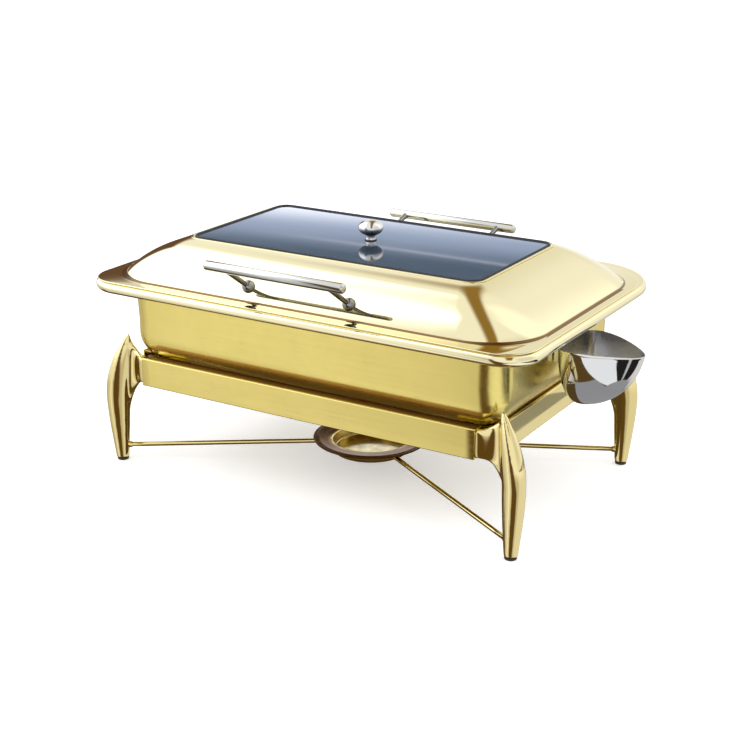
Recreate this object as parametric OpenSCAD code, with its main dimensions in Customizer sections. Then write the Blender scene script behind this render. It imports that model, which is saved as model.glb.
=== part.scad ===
// Full-size chafing dish: windowed lid on a rolled-rim water pan, held by a four-legged stand.
// Millimetres, +Z up, X along the long side, front at -Y.
// The origin is on the table, midway between the four feet.

/* [Stand] */
// Distance from the middle to a foot along the long side
foot_x = 282; // [276:1:288]
// Distance from the middle to a foot along the short side
foot_y = 161; // [159:1:163]
// Height of a leg's tip
leg_height = 173; // [168:1:178]
// Radius of a leg at the foot
foot_r = 8; // [7:0.5:9]
// Largest radius of a leg, measured outwards from the middle of the stand
leg_r = 15.5; // [13:0.5:16]
// Width of a leg across that direction, as a share of its depth
leg_flatness = 0.66; // [0.6:0.01:1]
// Height of the rails' lower edge
rail_bottom = 112; // [108:1:116]
// Height of a rail's face
rail_height = 37; // [34:1:38]
// Distance from the middle to the outer face of the end rails
rail_x = 256; // [254:1:258]
// Distance from the middle to the outer face of the front and back rails
rail_y = 168; // [167:1:169]
// Sheet thickness of the rails
rail_wall = 2; // [1.5:0.5:2.5]
// Diameter of a brace rod
rod_d = 6; // [5:0.5:7]
// Height of a brace rod where it meets its leg
rod_leg_z = 20; // [18:0.5:22]
// Height of a brace rod where it meets the burner ring
rod_ring_z = 28; // [26:0.5:30]

/* [Burner tray] */
// Radius of the tray's wide rim
tray_rim_r = 74; // [70:1:78]
// Radius of the tray's well
tray_well_r = 50; // [46:1:51]
// Depth of the tray's well below its rim
tray_depth = 18; // [14:1:19]

/* [Pans] */
// Distance from the middle to the rolled rim's outer edge, long way
rim_x = 306; // [304:1:310]
// Distance from the middle to the rolled rim's outer edge at the front
rim_y = 192; // [190:1:196]
// Distance from the middle to the rolled rim's outer edge at the back, behind the hinges
rim_back = 226; // [224:1:230]
// Height of the flange that the lid rests on
flange_z = 248; // [246:1:250]
// Radius of the rolled rim's section
roll_r = 7; // [6.5:0.5:9]
// Height of the water pan's flat underside
pan_bottom = 136; // [135:0.5:137]
// Distance from the middle to the water pan's wall, long way
pan_x = 263; // [262:0.5:264]
// Distance from the middle to the water pan's wall, short way
pan_y = 158; // [157:0.5:159]
// Radius where the water pan's wall turns into its bottom
pan_turn_r = 40; // [38:1:42]
// Depth of the food pan
food_depth = 65; // [40:5:65]

/* [Lid] */
// Distance from the middle to the window's edge, long way
window_x = 200; // [196:1:204]
// Distance from the middle to the window's edge, short way
window_y = 101; // [98:1:104]
// Height of the lid's flat top
top_z = 296; // [290:1:302]
// Distance from the middle to the foot of the lid's slope, long way
dome_x = 289; // [286:1:291]
// Distance from the middle to the foot of the lid's slope at the front
dome_y = 172; // [170:1:177]
// Distance from the middle to the foot of the lid's slope at the back
dome_back = 190; // [186:1:192]
// Sheet thickness of the lid and the water pan
sheet = 1.2; // [1:0.1:1.5]
// Width of the knob
knob_d = 31; // [24:1:32]
// Height of the knob above the glass
knob_h = 25; // [22:1:27]

/* [Handles] */
// Length of a handle's bar
bar_len = 186; // [170:2:200]
// Diameter of a handle's bar
bar_d = 12; // [10:1:14]
// Distance between a handle's two stems
stem_pitch = 140; // [120:2:150]
// Length of the front handle's stems from the lid to the bar's centre line
front_stem = 60; // [50:1:62]
// Length of the back handle's stems
back_stem = 41; // [38:1:44]
// Slope of the front handle's stems above level, in degrees
front_slope = 35; // [28:1:40]
// Slope of the back handle's stems above level, in degrees
back_slope = 17; // [14:1:20]

/* [Hinges] */
// Distance from the middle to each hinge
hinge_x = 150; // [120:5:160]
// Length of a hinge along its pin
hinge_len = 48; // [40:2:60]
// Radius of the hinge pin
pin_r = 2; // [1.5:0.25:2.5]

/* [Spoon rest] */
// Reach of the spoon rest's lip from the middle of the chafer
rest_reach = 366; // [350:1:372]
// Width of the spoon rest
rest_width = 94; // [80:2:100]
// Height of the spoon rest's mouth
rest_top = 214; // [210:1:218]
// Depth of the spoon rest's bowl
rest_depth = 77; // [60:1:80]

/* [Hidden] */
$fn = 64;

gold = [0.86, 0.72, 0.38];
pale_gold = [0.93, 0.84, 0.56];
silver = [0.82, 0.83, 0.85];
steel = [0.68, 0.69, 0.71];
black = [0.10, 0.10, 0.11];
smoke = [0.36, 0.42, 0.52, 0.6];

corner_steps = 8;       // facets in a quarter turn of a pan or lid corner
gap = 0.3;              // clearance between parts that move on each other
foot_pad_h = 3;         // rubber under each leg
arm_t = 12;             // thickness of a leg's casting arms
arm_reach = 215;        // where a front arm ends inside its rail
side_arm_reach = 118;   // where a side arm ends inside its rail
side_arm_t = 8;
side_arm_h = 26;        // low enough to stay under the pan's rounded corner
front_rail_end = 236;   // half length of the front and back rails
side_rail_end = 140;    // half length of the end rails
screw_r = 2;
plate_t = 2.2;
pad_h = 2.5;
pad_pos = [205, 102];   // centre of a silicone pad under the pan
pad_r = 8;
ring_r = 60;            // outer radius of the ring that holds the tray
ring_wall = 6;
tray_t = 1.5;
rim_corner = 44;        // corner radii of the rolled rim, front and back
rim_back_corner = 92;
pan_corner = 30;        // corner radius of the water pan's wall
food_x = 265;           // half the standard 530 x 325 flange
food_y = 162.5;
food_t = 0.9;
window_corner = 16;
dome_corner = 75;       // corner radii of the slope's foot, front and back
dome_back_corner = 94;
lid_flange_x = 302;
lid_flange_y = 190;
lid_flange_back = 203;
lid_flange_t = 1.5;
ledge_drop = 4.8;       // depth of the step that the glass sits in
ledge_w = 10;
glass_t = 4;
rosette_r = 8;
stem_r = 3;
knuckle_r = 5;
hinge_y = rim_back - 16;
hinge_z = flange_z + knuckle_r + 1.5;
rail_top = rail_bottom + rail_height;
dome_foot_z = flange_z + gap + lid_flange_t;

// ---------- shared shapes ----------

// Flat rounded rectangle with half sizes a and b
module plate2d(a, b, r) {
    square([2 * (a - r), 2 * b], center = true);
    square([2 * a, 2 * (b - r)], center = true);
    for (sx = [-1, 1], sy = [-1, 1]) translate([sx * (a - r), sy * (b - r)]) circle(r = r);
}

// Points of a rounded rectangle [half x, half y, corner radius, height]; two more values, when
// given, are the half y and the corner radius at the back
function ring_points(g) = [
    for (q = [0:3], i = [0:corner_steps])
        let (
            t = 90 * (q + i / corner_steps),
            sx = (q == 0 || q == 3) ? 1 : -1,
            sy = q < 2 ? 1 : -1,
            deep = q < 2 && len(g) > 4,
            b = deep ? g[4] : g[1],
            r = deep ? g[5] : g[2]
        )
        [sx * (g[0] - r) + r * cos(t), sy * (b - r) + r * sin(t), g[3]]
];

// Skin over loops of m points each; a wrapped skin joins the last loop to the first
module skin(loops, wrap = false) {
    m = len(loops[0]);
    n = len(loops);
    last = wrap ? n - 1 : n - 2;
    sides = [
        for (i = [0:last], j = [0:m - 1], half = [0, 1])
            let (
                a = i * m + j,
                b = i * m + (j + 1) % m,
                c = ((i + 1) % n) * m + (j + 1) % m,
                d = ((i + 1) % n) * m + j
            )
            half == 0 ? [a, d, c] : [a, c, b]
    ];
    caps = wrap ? [] : [
        [for (j = [0:m - 1]) j],
        [for (j = [m - 1:-1:0]) (n - 1) * m + j],
    ];
    polyhedron(points = [for (l = loops) each l], faces = concat(sides, caps), convexity = 6);
}

module loft(rings, wrap = false) skin([for (g = rings) ring_points(g)], wrap);

// Puts its children at each end of the stand, mirrored so that +X +Y describes every corner
module at_corner(sx, sy) scale([sx, sy, 1]) children();

function mix(a, b, t) = a + (b - a) * t;

// ---------- stand ----------

// Centre and radius of a leg at height z, for the corner at +X +Y
function leg_centre(z) = let (h = z / leg_height) [
    foot_x + 1.5 * sin(90 * min(1, h / 0.5)) - 18.5 * pow(max(0, (h - 0.5) / 0.5), 1.6),
    foot_y + 0.5 * sin(180 * min(1, h)) - 4.5 * pow(max(0, (h - 0.5) / 0.5), 1.6),
];
function leg_radius(z) = let (h = z / leg_height)
    h < 0.6
        ? mix(foot_r, leg_r, pow(sin(90 * h / 0.6), 1.15))
        : mix(0.8, leg_r, pow(cos(90 * (h - 0.6) / 0.4), 0.8));

// A leg's section is an oval, longer along the line from the middle of the stand
leg_angle = atan2(foot_y, foot_x);
function leg_point(z, k) =
    let (
        c = leg_centre(z),
        r = leg_radius(z),
        flat = mix(1, leg_flatness, min(1, z / leg_height * 2)),
        u = r * cos(k),
        v = r * flat * sin(k)
    )
    [
        c[0] + u * cos(leg_angle) - v * sin(leg_angle),
        c[1] + u * sin(leg_angle) + v * cos(leg_angle),
        z,
    ];

horn_sides = 20;
horn_levels = [for (i = [0:22]) mix(foot_pad_h, leg_height, 1 - pow(1 - i / 22, 1.15))];
horn_loops = [
    for (z = horn_levels) [for (k = [0:horn_sides - 1]) leg_point(z, 360 * k / horn_sides)]
];

// Upright outline of the arm that runs from the leg to the front rail
arm_steps = 8;
arm_low = [for (i = [0:arm_steps])
    let (t = i / arm_steps) [mix(238, foot_x - 8, t), rail_bottom + 1 - 52 * pow(t, 2.4)]];
arm_high = [for (i = [arm_steps:-1:0])
    let (t = i / arm_steps) [mix(236, foot_x - 16, t), rail_top - 1 + 20 * pow(t, 2)]];
arm_outline = concat([[arm_reach, rail_bottom + rail_wall]], arm_low, arm_high,
    [[arm_reach, rail_top - rail_wall]]);

arm_y = rail_y - rail_wall - arm_t;
arm_x = rail_x - rail_wall - side_arm_t;
screw_z = rail_bottom + 12;     // low enough to stay under the plates

module corner_leg() color(gold) difference() {
    union() {
        skin(horn_loops);
        translate([0, rail_y - rail_wall, 0]) rotate([90, 0, 0]) linear_extrude(arm_t)
            polygon(arm_outline);
        translate([arm_x, side_arm_reach, rail_bottom + rail_wall])
            cube([side_arm_t, arm_y + 1 - side_arm_reach, side_arm_h]);
    }
    translate([arm_reach + 10, rail_y, screw_z]) rotate([90, 0, 0])
        cylinder(r = screw_r, h = 3 * arm_t);
    translate([arm_x - 1, side_arm_reach + 10, screw_z]) rotate([0, 90, 0])
        cylinder(r = screw_r, h = 2 * arm_t);
}

module foot_pads() color(black)
    for (sx = [-1, 1], sy = [-1, 1]) translate([sx * foot_x, sy * foot_y, 0])
        cylinder(r = foot_r - 0.5, h = foot_pad_h);

// Rail along X at +Y: a face with a return along its top and bottom edges
module long_rail() color(gold) {
    translate([-front_rail_end, rail_y - rail_wall, rail_bottom])
        cube([2 * front_rail_end, rail_wall, rail_height]);
    // the top return is wider and closes most of the gap to the pan
    for (lip = [[rail_bottom, 10], [rail_top - rail_wall, 15]])
        translate([-arm_reach + 2, rail_y - rail_wall - lip[1], lip[0]])
            cube([2 * (arm_reach - 2), lip[1] + 0.5, rail_wall]);
}

// Rail along Y at +X: a face with a return along its bottom edge only, clear of the pan
module end_rail() color(gold) {
    translate([rail_x - rail_wall, -side_rail_end, rail_bottom])
        cube([rail_wall, 2 * side_rail_end, rail_height]);
    translate([rail_x - rail_wall - side_arm_t, -side_arm_reach + 2, rail_bottom])
        cube([side_arm_t + 0.5, 2 * (side_arm_reach - 2), rail_wall]);
}

// Screws from inside the stand, through each arm and into the rail
module rail_screws() color(steel)
    for (sx = [-1, 1], sy = [-1, 1]) at_corner(sx, sy) {
        translate([arm_reach + 10, rail_y - rail_wall, screw_z]) rotate([90, 0, 0]) {
            cylinder(r = screw_r, h = arm_t + 0.5);
            translate([0, 0, arm_t]) cylinder(r = 2 * screw_r, h = 2.4);
        }
        translate([rail_x - rail_wall, side_arm_reach + 10, screw_z]) rotate([0, -90, 0]) {
            cylinder(r = screw_r, h = side_arm_t + 0.5);
            translate([0, 0, side_arm_t]) cylinder(r = 2 * screw_r, h = 2.4);
        }
    }

// Plate across the inside of a corner; the pan stands on its pad
plate_z = pan_bottom - gap - pad_h - plate_t;
module pan_plate() color(gold) translate([0, 0, plate_z]) linear_extrude(plate_t) polygon([
    [arm_x, arm_y], [arm_x, pad_pos[1] + 4], [pad_pos[0] + 10, pad_pos[1] - 14],
    [pad_pos[0] - 12, pad_pos[1] - 10], [pad_pos[0] - 16, pad_pos[1] + 14], [pad_pos[0] - 8, arm_y],
]);

module plate_pads() color(black)
    for (sx = [-1, 1], sy = [-1, 1])
        translate([sx * pad_pos[0], sy * pad_pos[1], plate_z + plate_t])
            cylinder(r = pad_r, h = pad_h);

// Rod from a leg down from the burner ring, for the corner at +X +Y; its ends sit in both
rod_bite = 1.5;
rod_leg = leg_centre(rod_leg_z);
rod_angle = atan2(rod_leg[1], rod_leg[0]);
rod_start = ring_r - rod_bite;
rod_run = norm(rod_leg) - leg_radius(rod_leg_z) + rod_bite - rod_start;
rod_drop = rod_ring_z - rod_leg_z;
module brace_rod() color(gold)
    rotate([0, 0, rod_angle]) translate([rod_start, 0, rod_ring_z])
        rotate([0, 90 + atan2(rod_drop, rod_run), 0])
            cylinder(d = rod_d, h = norm([rod_run, rod_drop]));

module burner_ring() color(gold) translate([0, 0, rod_ring_z - rod_d / 2]) difference() {
    cylinder(r = ring_r, h = rod_d);
    translate([0, 0, -1]) cylinder(r = ring_r - ring_wall, h = rod_d + 2);
}

// Loose tray with a wide sloping rim and a flat well for a fuel can
tray_top = rod_ring_z + rod_d / 2 + gap + tray_t + 3;
module burner_tray() color(gold) translate([0, 0, tray_top]) rotate_extrude() polygon([
    [0, -tray_depth - tray_t], [tray_well_r - 3, -tray_depth - tray_t],
    [tray_well_r, -tray_depth + 1.5], [tray_well_r + 1, -tray_t - 2.6],
    [ring_r + 1, -tray_t - 2.4], [tray_rim_r - 1, -tray_t], [tray_rim_r, -3], [tray_rim_r + 0.8, -3],
    [tray_rim_r, 0], [tray_rim_r - 2, 0.4], [ring_r, -2.2], [tray_well_r, -2.6],
    [tray_well_r - 1.5, -tray_depth + 2], [tray_well_r - 4, -tray_depth], [0, -tray_depth],
]);

// ---------- pans ----------

turn_steps = 6;
// Loops of a wall that rises from a flat bottom through a rounded turn: half sizes a and b at the
// wall, corner r, underside z, turn radius t
function turn_rings(a, b, r, z, t) = [
    for (i = [0:turn_steps])
        let (u = 90 * i / turn_steps, inset = t * (1 - sin(u)))
        [a - inset, b - inset, max(r - inset * 0.6, 8), z + t * (1 - cos(u))]
];
function reverse(v) = [for (i = [len(v) - 1:-1:0]) v[i]];

// Loops round the rolled rim, from below the flange, round the roll and back over it
function roll_rings(r, from, to, steps) = [
    for (i = [0:steps])
        let (u = mix(from, to, i / steps), out = r * sin(u) - roll_r)
        [
            rim_x + out, rim_y + out, rim_corner + out, flange_z - roll_r + r * cos(u),
            rim_back + out, rim_back_corner + out,
        ]
];

module water_pan() color(gold) loft(concat(
    turn_rings(pan_x - 2, pan_y - 2, pan_corner - 2, pan_bottom, pan_turn_r),
    [[pan_x, pan_y, pan_corner, flange_z - sheet]],
    roll_rings(roll_r - sheet, 0, 180, 8),
    roll_rings(roll_r, 180, 0, 10),
    [[pan_x - sheet, pan_y - sheet, pan_corner - sheet, flange_z]],
    reverse(turn_rings(pan_x - 2 - sheet, pan_y - 2 - sheet, pan_corner - 2 - sheet,
        pan_bottom + sheet, pan_turn_r - sheet))
));

food_turn = 14;
module food_pan() color(steel) loft(concat(
    turn_rings(food_x - 22, food_y - 22, 44, flange_z - food_depth, food_turn),
    [
        [food_x - 13, food_y - 13, 48, flange_z - 1],
        [food_x - 13, food_y - 13, 48, flange_z],
        [food_x, food_y, 30, flange_z],
        [food_x, food_y, 30, flange_z + food_t],
        [food_x - 14, food_y - 14, 47, flange_z + food_t],
        [food_x - 14.2, food_y - 14.2, 47, flange_z - 1],
    ],
    reverse(turn_rings(food_x - 22 - food_t, food_y - 22 - food_t, 43,
        flange_z - food_depth + food_t, food_turn - food_t))
));

// ---------- spoon rest ----------

rest_back = pan_x + 5;          // flat side that faces the pan
rest_mid = rest_back + 26;      // widest section
lip_drop = 6;                   // how far the lip dips at its tip
rest_points = 36;
rest_steps = 10;

// Plan outline of the boat-shaped bowl, blunt at the pan and narrow at the lip
function rest_outline(inset) = [
    for (k = [0:rest_points - 1])
        let (
            t = 360 * k / rest_points,
            c = cos(t),
            reach = c > 0 ? rest_reach - rest_mid - inset : rest_mid - rest_back - inset,
            half = rest_width / 2 - inset,
            taper = c > 0 ? 1 - 0.38 * pow(c, 1.5) : 1
        )
        [rest_mid + reach * (c > 0 ? c : -pow(-c, 0.6)), half * taper * sin(t)]
];

// Loop of the bowl at depth s, 0 at the mouth and 1 at the bottom
function rest_loop(s, inset, floor) = [
    for (p = rest_outline(inset))
        let (
            k = pow(max(0, 1 - pow(s, 2.4)), 0.55),
            out = max(0, p[0] - rest_mid) / (rest_reach - rest_mid),
            tuck = 0.35 * out * pow(s, 0.8),
            lip = rest_top - lip_drop * pow(out, 1.5)
        )
        [
            rest_mid + (p[0] - rest_mid) * k * (1 - tuck * 0.5),
            p[1] * k,
            mix(lip, rest_top - rest_depth + floor, s),
        ]
];

module spoon_rest() color(silver) skin(concat(
    [for (i = [rest_steps:-1:0]) rest_loop(min(0.985, i / rest_steps), 0, 0)],
    [for (i = [0:rest_steps]) rest_loop(min(0.98, i / rest_steps), 1.6, 1.8)]
));

rest_plate_z = [190, flange_z - 2 * roll_r - 2];
module spoon_rest_plate() color(silver)
    translate([pan_x, -22, rest_plate_z[0]])
        difference() {
            cube([rest_back - pan_x, 44, rest_plate_z[1] - rest_plate_z[0]]);
            for (y = [10, 34]) translate([-1, y, 20]) rotate([0, 90, 0]) cylinder(r = 2.5, h = 12);
        }

module spoon_rest_rivets() color(silver)
    for (y = [-12, 12]) translate([pan_x + 0.2, y, rest_plate_z[0] + 20]) rotate([0, 90, 0])
        cylinder(r = 2.5, h = rest_back - pan_x - 0.4);

// ---------- hinges ----------

outer_knuckle = hinge_len / 4;
base_t = 1.2;
base_half = 5.5;
rivet_x = hinge_len / 2 + 7;

// Plate on the rim behind the lid, with the two outer knuckles
module hinge_base() color(gold) difference() {
    union() {
        translate([-hinge_len / 2 - 14, hinge_y - base_half, flange_z])
            cube([hinge_len + 28, 2 * base_half, base_t]);
        for (x = [-hinge_len / 2, hinge_len / 2 - outer_knuckle]) {
            translate([x, hinge_y, hinge_z]) rotate([0, 90, 0])
                cylinder(r = knuckle_r, h = outer_knuckle);
            translate([x, hinge_y - 4, flange_z]) cube([outer_knuckle, 8, hinge_z - flange_z - 2.5]);
        }
    }
    translate([-hinge_len, hinge_y, hinge_z]) rotate([0, 90, 0])
        cylinder(r = pin_r, h = 2 * hinge_len);
    for (x = [-rivet_x, rivet_x]) translate([x, hinge_y, flange_z - 1]) cylinder(r = 2, h = 6);
}

module hinge_pin() color(silver) translate([-hinge_len / 2 - 1.5, hinge_y, hinge_z])
    rotate([0, 90, 0]) {
        cylinder(r = pin_r, h = hinge_len + 1.5);
        cylinder(r = pin_r + 1.5, h = 1.5);
    }

module hinge_rivets() color(silver)
    for (s = [-1, 1], x = [-rivet_x, rivet_x]) translate([s * hinge_x + x, hinge_y, flange_z + 0.1]) {
        cylinder(r = 2, h = base_t);
        translate([0, 0, base_t - 0.1]) cylinder(r = 3.5, h = 1.2);
    }

// Leaf on the lid's flange with the middle knuckle, which turns on the pin
leaf_len = hinge_len - 2 * outer_knuckle - 2 * gap;
leaf_t = 2;
module hinge_leaf() color(gold) difference() {
    union() {
        translate([-leaf_len / 2, hinge_y, hinge_z]) rotate([0, 90, 0])
            cylinder(r = knuckle_r, h = leaf_len);
        translate([-leaf_len / 2, dome_back + 4.5, dome_foot_z])
            cube([leaf_len, hinge_y - dome_back - 4.5, leaf_t]);
    }
    translate([-leaf_len, hinge_y, hinge_z]) rotate([0, 90, 0])
        cylinder(r = pin_r + 0.05, h = 2 * leaf_len);
}

// ---------- lid ----------

dome_rise = top_z - dome_foot_z;
shell_edge = 2;     // from the window's edge to where the slope starts
function dome_height(t) = dome_foot_z + dome_rise * pow(max(0, 1 - pow(t, 1.3)), 1 / 1.2);
// How far out the front has come at t; it is flatter at the top and steeper at the foot
function front_part(t) = pow(t, 0.55);
// Loop of the slope, t = 0 at the window and 1 at the foot, moved in and down for the inside
function dome_ring(t, inside) = [
    mix(window_x + shell_edge, dome_x, t) - inside * 0.9,
    mix(window_y + shell_edge, dome_y, front_part(t)) - inside * 0.9,
    mix(window_corner, dome_corner, t),
    dome_height(t) - inside * 1.15,
    mix(window_y + shell_edge, dome_back, t) - inside * 0.9,
    mix(window_corner, dome_back_corner, t),
];
dome_steps = 11;
slope_t = [for (i = [0:dome_steps]) 1 - pow(1 - i / dome_steps, 1.5)];
ledge_z = top_z - ledge_drop;

module lid_shell() color(pale_gold) loft(concat(
    [
        [lid_flange_x, lid_flange_y, 40, flange_z + gap, lid_flange_back, 84],
        [lid_flange_x, lid_flange_y, 40, dome_foot_z, lid_flange_back, 84],
        [dome_x + 4, dome_y + 4, dome_corner - 2, dome_foot_z, dome_back + 4, dome_back_corner - 2],
        [dome_x + 1.4, dome_y + 1.4, dome_corner, dome_foot_z + 0.9,
            dome_back + 1.4, dome_back_corner],
    ],
    [for (i = [dome_steps - 1:-1:0]) dome_ring(slope_t[i], 0)],
    [
        [window_x + shell_edge, window_y + shell_edge, window_corner, ledge_z],
        [window_x - ledge_w, window_y - ledge_w, window_corner - 8, ledge_z],
        [window_x - ledge_w, window_y - ledge_w, window_corner - 8, ledge_z - sheet],
        [window_x + shell_edge + sheet, window_y + shell_edge + sheet, window_corner, ledge_z - sheet],
    ],
    [for (i = [1:dome_steps - 1]) dome_ring(slope_t[i], sheet)],
    [[dome_x - 0.4, dome_y - 0.4, dome_corner, flange_z + gap, dome_back - 0.4, dome_back_corner]]
), wrap = true);

// Bead round the window, a half-round loop on the lid's flat edge
module window_trim() color(pale_gold) loft([
    for (k = [0:7])
        let (u = 360 * k / 8)
        [
            window_x + shell_edge + 2.4 + 2.2 * cos(-u), window_y + shell_edge + 2.4 + 2.2 * cos(-u),
            window_corner + 2.2 * cos(-u), top_z + 1.6 + 1.5 * sin(-u),
        ]
], wrap = true);

module window_gasket() color(black) translate([0, 0, ledge_z]) difference() {
    linear_extrude(ledge_drop + 0.8)
        plate2d(window_x + shell_edge - 0.1, window_y + shell_edge - 0.1, window_corner);
    translate([0, 0, -1]) linear_extrude(2 * ledge_drop)
        plate2d(window_x - ledge_w + 2, window_y - ledge_w + 2, window_corner - 8);
    translate([0, 0, 1]) linear_extrude(2 * ledge_drop)
        plate2d(window_x - 1, window_y - 1, window_corner - 1);
}

glass_bottom = ledge_z + 1;
stud_r = 4;
module window_glass() color(smoke) translate([0, 0, glass_bottom]) linear_extrude(glass_t)
    difference() {
        plate2d(window_x - 1, window_y - 1, window_corner - 1);
        circle(r = stud_r);
    }

// Round knob: a slim neck under a flattened ball, on a stud through the glass
seal_t = 1;
knob_base = glass_bottom + glass_t + seal_t;
knob_neck = 6;
knob_ball = knob_h - knob_neck + 1;
module knob() color(silver) translate([0, 0, knob_base]) {
    rotate_extrude() difference() {
        union() {
            translate([0, knob_h - knob_ball / 2]) scale([knob_d / knob_ball, 1])
                circle(d = knob_ball);
            square([knob_d * 0.2, knob_h * 0.4]);
        }
        translate([-knob_d, -1]) square([knob_d, knob_h + 2]);
    }
    translate([0, 0, -15.5]) cylinder(r = stud_r, h = 16.5);
}

module knob_seal() color(black) {
    difference() {
        translate([0, 0, glass_bottom + glass_t]) cylinder(r = knob_d * 0.24, h = seal_t);
        translate([0, 0, glass_bottom]) cylinder(r = stud_r, h = 20);
    }
    difference() {
        translate([0, 0, glass_bottom - seal_t]) cylinder(r = knob_d * 0.24, h = seal_t);
        translate([0, 0, glass_bottom - 10]) cylinder(r = stud_r, h = 20);
    }
}

module knob_nut() color(steel) translate([0, 0, glass_bottom - seal_t - 7]) difference() {
    union() {
        translate([0, 0, 5.5]) cylinder(r = 9, h = 1.5);
        cylinder(r = 7, h = 5.5, $fn = 6);
    }
    translate([0, 0, -1]) cylinder(r = stud_r, h = 20);
}

// ---------- handles ----------

// Place and slope of the lid's surface where a handle stands; side is -1 at the front
function slope_depth(side) = (side < 0 ? dome_y : dome_back) - window_y - shell_edge;
function handle_t(side) = side < 0 ? 0.77 : 0.79;
function part_out(side, t) = side < 0 ? front_part(t) : t;
function handle_y(side) = window_y + shell_edge + part_out(side, handle_t(side)) * slope_depth(side);
function handle_z(side) = dome_height(handle_t(side));
function surface_slope(side) =
    let (low = handle_t(side) + 0.02, high = handle_t(side) - 0.02)
    atan2(dome_height(high) - dome_height(low),
        (part_out(side, low) - part_out(side, high)) * slope_depth(side));

// Frames at a stem's foot: along the stem, and square to the lid's surface
module on_stem(side, x) translate([x, side * handle_y(side), handle_z(side)])
    rotate([-side * (90 - (side < 0 ? front_slope : back_slope)), 0, 0]) children();
module on_surface(side, x) translate([x, side * handle_y(side), handle_z(side)])
    rotate([-side * surface_slope(side), 0, 0]) children();
function stem_len(side) = side < 0 ? front_stem : back_stem;
stem_xs = [-stem_pitch / 2, stem_pitch / 2];
stem_foot = rosette_r - 2;

module handle_bar(side) color(silver) difference() {
    on_stem(side, 0) translate([-bar_len / 2, 0, stem_len(side)]) rotate([0, 90, 0])
        cylinder(d = bar_d, h = bar_len);
    for (x = stem_xs) on_stem(side, x) cylinder(r = stem_r, h = stem_len(side));
}

module handle_caps(side) color(silver) for (s = [-1, 1])
    on_stem(side, s * bar_len / 2) translate([0, 0, stem_len(side)]) rotate([0, s * 90, 0]) {
        cylinder(d = bar_d - 1, h = 1);
        translate([0, 0, 1]) cylinder(d1 = bar_d - 1, d2 = bar_d - 4, h = 1.5);
    }

module handle_stems(side) color(silver) for (x = stem_xs)
    on_stem(side, x) translate([0, 0, stem_foot]) cylinder(r = stem_r, h = stem_len(side) - stem_foot);

module handle_rosettes(side) color(silver) for (x = stem_xs) difference() {
    on_surface(side, x) intersection() {
        sphere(r = rosette_r);
        translate([-10, -10, 0.4]) cube(20);
    }
    on_stem(side, x) translate([0, 0, stem_foot]) cylinder(r = stem_r, h = stem_len(side));
    on_surface(side, x) translate([0, 0, -5]) cylinder(r = 2.5, h = 8);
}

module handle_screws(side) color(steel) for (x = stem_xs) on_surface(side, x) {
    translate([0, 0, -5]) cylinder(r = 5, h = 2.8);
    translate([0, 0, -4]) cylinder(r = 2.5, h = 7);
}

// ---------- nodes ----------

module leg_front_left() at_corner(-1, -1) corner_leg();
module leg_front_right() at_corner(1, -1) corner_leg();
module leg_back_left() at_corner(-1, 1) corner_leg();
module leg_back_right() at_corner(1, 1) corner_leg();
module rail_front() at_corner(1, -1) long_rail();
module rail_back() long_rail();
module rail_left() at_corner(-1, 1) end_rail();
module rail_right() end_rail();
module pan_plate_front_left() at_corner(-1, -1) pan_plate();
module pan_plate_front_right() at_corner(1, -1) pan_plate();
module pan_plate_back_left() at_corner(-1, 1) pan_plate();
module pan_plate_back_right() at_corner(1, 1) pan_plate();
module brace_rod_front_left() at_corner(-1, -1) brace_rod();
module brace_rod_front_right() at_corner(1, -1) brace_rod();
module brace_rod_back_left() at_corner(-1, 1) brace_rod();
module brace_rod_back_right() at_corner(1, 1) brace_rod();
module hinge_base_left() translate([-hinge_x, 0, 0]) hinge_base();
module hinge_base_right() translate([hinge_x, 0, 0]) hinge_base();
module hinge_pin_left() translate([-hinge_x, 0, 0]) hinge_pin();
module hinge_pin_right() translate([hinge_x, 0, 0]) mirror([1, 0, 0]) hinge_pin();
module hinge_leaf_left() translate([-hinge_x, 0, 0]) hinge_leaf();
module hinge_leaf_right() translate([hinge_x, 0, 0]) hinge_leaf();
module front_handle_bar() handle_bar(-1);
module front_handle_caps() handle_caps(-1);
module front_handle_stems() handle_stems(-1);
module front_handle_rosettes() handle_rosettes(-1);
module front_handle_screws() handle_screws(-1);
module back_handle_bar() handle_bar(1);
module back_handle_caps() handle_caps(1);
module back_handle_stems() handle_stems(1);
module back_handle_rosettes() handle_rosettes(1);
module back_handle_screws() handle_screws(1);

leg_front_left();
leg_front_right();
leg_back_left();
leg_back_right();
foot_pads();
rail_front();
rail_back();
rail_left();
rail_right();
rail_screws();
pan_plate_front_left();
pan_plate_front_right();
pan_plate_back_left();
pan_plate_back_right();
plate_pads();
brace_rod_front_left();
brace_rod_front_right();
brace_rod_back_left();
brace_rod_back_right();
burner_ring();
burner_tray();
water_pan();
food_pan();
spoon_rest();
spoon_rest_plate();
spoon_rest_rivets();
hinge_base_left();
hinge_base_right();
hinge_pin_left();
hinge_pin_right();
hinge_rivets();
lid_shell();
window_trim();
window_gasket();
window_glass();
knob();
knob_seal();
knob_nut();
hinge_leaf_left();
hinge_leaf_right();
front_handle_bar();
front_handle_caps();
front_handle_stems();
front_handle_rosettes();
front_handle_screws();
back_handle_bar();
back_handle_caps();
back_handle_stems();
back_handle_rosettes();
back_handle_screws();
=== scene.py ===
import math

import bmesh
import bpy
import numpy as np
from mathutils import Matrix, Vector


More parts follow.
